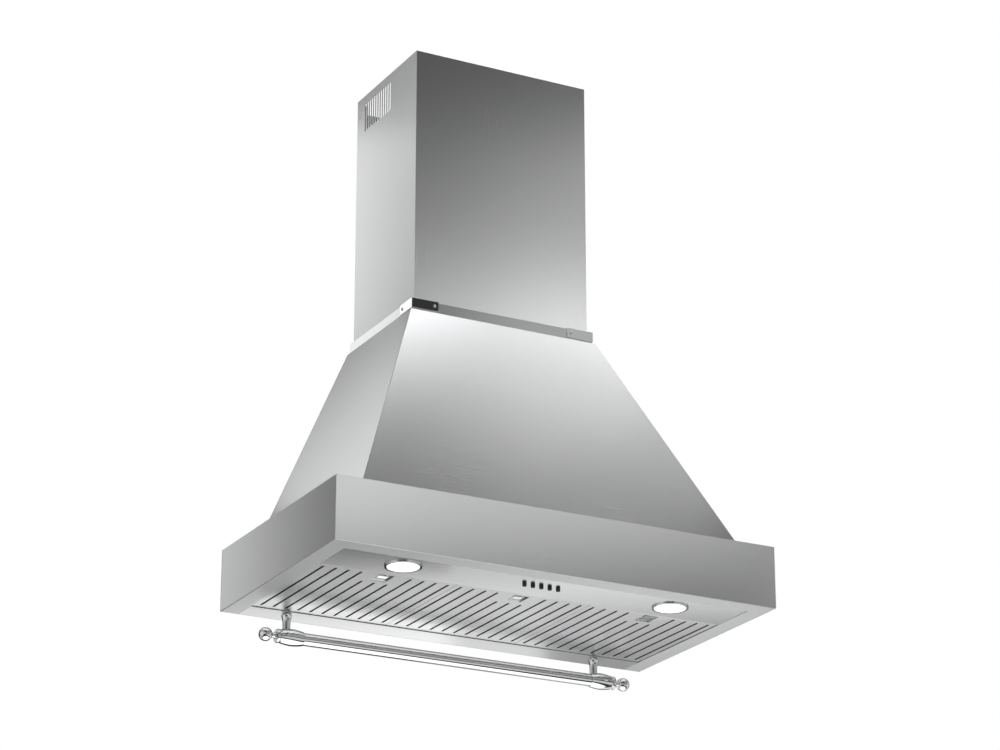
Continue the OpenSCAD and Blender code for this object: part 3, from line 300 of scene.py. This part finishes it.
softened("skirt_sheet", "canopy_skirt", "steel_level", "hood", wide=0.9, fine=0.3)
softened("pyramid_sheet", "pyramid_shell", "steel_level", "hood", wide=0.9, fine=0.3)
softened("chimney_sheet", "chimney_cover", "steel_upright", "hood", wide=0.8)
for name, node, wears in (
    ("collar_sheet", "collar", "collar"),
    ("frame_sheet", "underside_frame", "frame"),
    ("rear_strip_sheet", "rear_strip", "rear"),
    ("lamp_panel_sheet", "lamp_panel", "steel_under"),
):
    softened(name, node, wears, "hood", wide=0.4)
for end in ENDS:
    softened("clip_" + end, "corner_clip_" + end, "clip", "hood", wide=0.5, long=10)
    softened("ferrule_" + end, "rail_ferrule_" + end, "chrome", "hood", fine=0.35)
    softened("ball_" + end, "rail_ball_" + end, "chrome", "hood", fine=0.3)
    softened("post_" + end, "rail_post_" + end, "chrome", "hood", fine=0.3)
softened("tube", "rail_tube", "chrome", "hood", fine=0.3)
softened("clip_screw_heads", "clip_screws", "plated", "hood", fine=0.12)
softened("chimney_screw_heads", "chimney_screws", "plated", "hood", fine=0.12)
softened("outlet_screw_heads", "blower_screws", "plated", "hood", fine=0.15)
softened("bracket_sheet", "chimney_bracket", "zinc", "hood", wide=0.4)
for i in FILTERS:
    softened(f"tray_{i}", f"filter_tray_{i}", "filter", f"filter_{i}",
             wide=0.12, segments=2)
    softened(f"latch_tab_{i}", f"filter_latch_{i}", "latch", f"latch_{i}",
             wide=0.35, long=5)

# Outlines of the turned pieces: radius and height above the canopy's lower edge, in mm
BEZEL = ((30, 13.2), (30, -1.2), (30.3, -1.4), (33.5, -1.4), (34, -1.1), (34, 1.15),
         (31.2, 1.15), (31.2, 13.2))
LENS = ((0, -1.0), (18, -0.95), (27, -0.85), (29.2, -0.75), (29.8, -0.3), (29.8, 1.65),
        (0, 1.65))
BUTTON = ((0, -4.8), (2.2, -4.75), (3.2, -4.5), (3.75, -4.05), (4, -3.3), (4, 10.2), (0, 10.2))
OUTLET = ((73, 558.7), (74.95, 558.7), (74.95, 583), (75, 584), (75, 586), (74.95, 587),
          (74.95, 616.2), (73, 616.2))
# Sides of a turned piece, and the steps across a rounded edge of it
LARGE_ROUND, SMALL_ROUND = 96, 48
EDGE_STEPS = 4


def turned(name, outline, wears, body, node, sides, ring=False, soft=0.0, axis_of=None):
    """A piece turned about the upright axis of its node, which it stands for.

    A ring's outline closes on itself, and its edges are rounded by soft, in mm. axis_of names
    another node whose axis the piece shares.
    """
    bm = bmesh.new()
    verts = [bm.verts.new((r * MM, 0, h * MM)) for r, h in outline]
    pairs = list(zip(verts, verts[1:])) + ([(verts[-1], verts[0])] if ring else [])
    edges = [bm.edges.new(pair) for pair in pairs]
    bmesh.ops.spin(bm, geom=verts + edges, cent=(0, 0, 0), axis=(0, 0, 1), angle=2 * math.pi,
                   steps=sides, use_merge=True, use_duplicate=False)
    bmesh.ops.remove_doubles(bm, verts=bm.verts, dist=SAME_POINT)
    bmesh.ops.recalc_face_normals(bm, faces=bm.faces)
    if soft:
        round_off(bm, turning(bm, FOLD_TURNS), soft, EDGE_STEPS)
    low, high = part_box(axis_of or node)
    spot = (Vector(low) + Vector(high)) / 2
    spot.z = -HANG
    bmesh.ops.translate(bm, verts=bm.verts, vec=spot)
    obj = add(name, bm, wears, body, node)
    obj.data.set_sharp_from_angle(angle=math.radians(TURNED_SHARP))


for end in ENDS:
    turned("bezel_" + end, BEZEL, "chrome", "hood", "lamp_bezel_" + end,
           LARGE_ROUND, ring=True, soft=0.2)
    turned("lens_" + end, LENS, "lens", "hood", "lamp_lens_" + end, LARGE_ROUND,
           axis_of="lamp_bezel_" + end)
for i in BUTTONS:
    turned(f"push_button_{i}", BUTTON, "black_gloss", f"button_{i}",
           f"button_{i}", SMALL_ROUND)
turned("outlet_tube", OUTLET, "black", "hood", "duct_outlet",
       LARGE_ROUND, ring=True, soft=0.4)

# Studio


def soft_box(name, size, place, target, strength):
    """A box of light: width and height in metres, its place and what it points at."""
    data = bpy.data.lights.new(name, "AREA")
    data.shape = "RECTANGLE"
    data.size, data.size_y = size
    data.energy = strength * size[0] * size[1] * math.pi
    light = bpy.data.objects.new(name, data)
    light.location = place
    light.rotation_euler = (Vector(target) - Vector(place)).to_track_quat("-Z", "Y").to_euler()
    light.visible_camera = False
    bpy.context.scene.collection.objects.link(light)


# Soft boxes round the hood: degrees from the front towards the right, degrees above level,
# width and height in metres, strength. The upright fronts mirror those in front, the pyramid
# those above, the left sides those behind
MIDDLE = Vector((0, -0.2, 0.15))
BANK_AWAY = 1.9
BANK = (
    (-155, 6, 0.8, 0.75, 0.85),
    (-158, 29, 0.58, 0.6, 1.2),
    (-144, 42, 0.35, 0.43, 0.5),
    (-130, 29, 0.6, 0.6, 0.9),
    (6, 8, 0.46, 0.4, 1.25),
    (20, 8, 0.46, 0.4, 0.76),
    (20, 20, 0.44, 0.4, 0.78),
    (20, 32, 0.4, 0.4, 0.18),
    (30, 70, 0.29, 0.47, 2.4),
    (34, 8, 0.46, 0.4, 0.7),
    (34, 20, 0.44, 0.4, 1.58),
    (34, 32, 0.4, 0.4, 0.41),
    (48, -4, 0.47, 0.4, 0.71),
    (55, 56, 0.47, 0.47, 0.75),
    (55, 70, 0.29, 0.47, 3.0),
    (62, 44, 0.34, 0.4, 0.79),
    (80, 56, 0.47, 0.47, 3.0),
    (80, 70, 0.29, 0.47, 1.49),
)
for number, (round_to, above, wide, tall, strength) in enumerate(BANK):
    turn, rise = math.radians(round_to), math.radians(above)
    outward = Vector((math.sin(turn) * math.cos(rise), -math.cos(turn) * math.cos(rise),
                      math.sin(rise)))
    soft_box(f"soft_box_{number}", (wide, tall), MIDDLE + BANK_AWAY * outward, MIDDLE, strength)

# Larger boxes behind and below, near the hood, which its underside mirrors. They stand in one
# wall: metres across and up from the wall's middle, width and height, strength
BENEATH = Vector((0, -0.25, -0.31))
REARWARD = Vector((0.44, 0.83, -0.35)).normalized()
ACROSS = REARWARD.cross(Vector((0, 0, 1))).normalized()
UPWARD = ACROSS.cross(REARWARD)
WALL_AWAY = 0.9
LOW_BANK = (
    (-0.4, 0.163, 0.6, 0.325, 1.45),
    (0.0, 0.163, 0.2, 0.325, 0.92),
    (0.4, 0.195, 0.6, 0.26, 0.25),
    (0.0, -0.163, 0.2, 0.325, 0.52),
    (0.4, -0.13, 0.6, 0.39, 0.92),
)
for number, (across, upward, wide, tall, strength) in enumerate(LOW_BANK):
    spot = BENEATH + WALL_AWAY * REARWARD + across * ACROSS + upward * UPWARD
    soft_box(f"low_box_{number}", (wide, tall), spot, spot - REARWARD, strength)

# A small box that only the right clip mirrors to the camera
RIGHT_CLIP = (0.185, -0.28, 0.26)
CLIP_BOX_SIZE, CLIP_BOX_PLACE, CLIP_BOX_STRENGTH = (0.15, 0.15), (0.8, -1.07, 1.1), 0.47
soft_box("clip_box", CLIP_BOX_SIZE, CLIP_BOX_PLACE, RIGHT_CLIP, CLIP_BOX_STRENGTH)

# The room: white behind the hood for the camera. Metal sees pale walls at both sides, a greyer
# room between them, and a few paler patches
world = bpy.data.worlds.new("studio")
bpy.context.scene.world = world
world.use_nodes = True
sky = world.node_tree
# Strength of the white that the camera sees, and of the light that falls on what isn't metal
WHITE, AMBIENT = 1, 0.6


def room_light(strength):
    """A white room of a given strength, or of one that another node gives."""
    return fitted(sky, "ShaderNodeBackground", {
        "Color": (1, 1, 1, 1), "Strength": strength}).outputs[0]


def blended(tree, share, first, second):
    """Two shaders, mixed by the share of the second."""
    return fitted(tree, "ShaderNodeMixShader", {"Fac": share, 1: first, 2: second}).outputs[0]


def eased(value, start, end, first, last):
    """A strength that runs smoothly from first to last while the value goes from start to end."""
    return fitted(sky, "ShaderNodeMapRange", {
        "Value": value, "From Min": start, "From Max": end, "To Min": first, "To Max": last,
    }, interpolation_type="SMOOTHSTEP").outputs[0]


def patch(*factors):
    """A part of the room, as strong as its factors multiplied."""
    total = factors[0]
    for factor in factors[1:]:
        total = reckoned(sky, "MULTIPLY", total, factor)
    return total


ray = fitted(sky, "ShaderNodeLightPath").outputs
direction = fitted(sky, "ShaderNodeTexCoord").outputs["Generated"]
apart = fitted(sky, "ShaderNodeSeparateXYZ", {0: direction}).outputs
to_right, to_rear, to_top = (apart[axis] for axis in "XYZ")
side_walls = eased(reckoned(sky, "ABSOLUTE", to_right), 0.68, 0.95, 0.04, 0.7)
far_below = eased(to_top, -0.82, -0.74, 0.8, 0.0)
front_right_low = patch(
    eased(to_rear, -0.5, -0.2, 0.62, 0.0),
    eased(to_right, -0.25, 0.1, 0.0, 1.0),
    eased(to_top, -0.52, -0.48, 0.0, 1.0),
    eased(to_top, -0.2, 0.05, 1.0, 0.0),
)
# Two patches that only other views mirror
front_left = patch(
    eased(to_right, -0.35, -0.05, 0.5, 0.0),
    eased(to_rear, -0.35, 0.05, 1.0, 0.0),
    eased(to_top, -0.3, -0.1, 0.0, 1.0),
)
rear_right = patch(
    eased(to_right, 0.2, 0.5, 0.0, 0.35),
    eased(to_rear, 0.0, 0.3, 0.0, 1.0),
    eased(to_top, -0.15, 0.0, 0.0, 1.0),
    reckoned(sky, "MAXIMUM", eased(to_top, 0.12, 0.26, 1.0, 0.0),
             eased(to_top, 0.4, 0.55, 0.0, 1.0)),
)
# The walls of the latch pockets mirror this one
rear_left_low = patch(
    eased(to_right, -0.3, -0.1, 0.55, 0.0),
    eased(to_rear, 0.2, 0.5, 0.0, 1.0),
    eased(to_top, -0.3, -0.1, 1.0, 0.0),
)
brightest = side_walls
for part in (far_below, front_right_low, front_left, rear_right, rear_left_low):
    brightest = reckoned(sky, "MAXIMUM", brightest, part)
mirrored = reckoned(sky, "MAXIMUM", ray["Is Glossy Ray"], ray["Is Transmission Ray"])
lit = blended(sky, mirrored, room_light(AMBIENT), room_light(brightest))
seen = blended(sky, ray["Is Camera Ray"], lit, room_light(WHITE))
sky.links.new(seen, sky.nodes["World Output"].inputs["Surface"])

# Floor: a pale round one below the camera, clear from underneath
FLOOR_PLACE, FLOOR_RADIUS, FLOOR_SIDES = (0, -0.2, -2.4), 1.8, 96
FLOOR_COLOUR, FLOOR_ROUGH, FLOOR_GLOW = (0.9, 0.9, 0.9), 0.7, 0.85


def floor_material():
    """Pale, with a glow that only the camera and metal see, so that it is near the white."""
    mat, tree, shader = plain("floor", FLOOR_COLOUR, 0, FLOOR_ROUGH)
    path = fitted(tree, "ShaderNodeLightPath").outputs
    shown = reckoned(tree, "MAXIMUM", path["Is Glossy Ray"], path["Is Transmission Ray"])
    shown = reckoned(tree, "MAXIMUM", shown, path["Is Camera Ray"])
    dark, glow = (fitted(tree, "ShaderNodeEmission", {"Strength": strength}).outputs[0]
                  for strength in (0, FLOOR_GLOW))
    pale = fitted(tree, "ShaderNodeAddShader", {
        0: shader.outputs[0], 1: blended(tree, shown, dark, glow)}).outputs[0]
    clear = fitted(tree, "ShaderNodeBsdfTransparent").outputs[0]
    underneath = fitted(tree, "ShaderNodeNewGeometry").outputs["Backfacing"]
    tree.links.new(blended(tree, underneath, pale, clear),
                   tree.nodes["Material Output"].inputs["Surface"])
    return mat


bm = bmesh.new()
bmesh.ops.create_circle(bm, cap_ends=True, segments=FLOOR_SIDES, radius=FLOOR_RADIUS,
                        matrix=Matrix.Translation(FLOOR_PLACE))
mesh = bpy.data.meshes.new("floor")
bm.to_mesh(mesh)
bm.free()
floor = bpy.data.objects.new("floor", mesh)
bpy.context.scene.collection.objects.link(floor)
mesh.materials.append(floor_material())
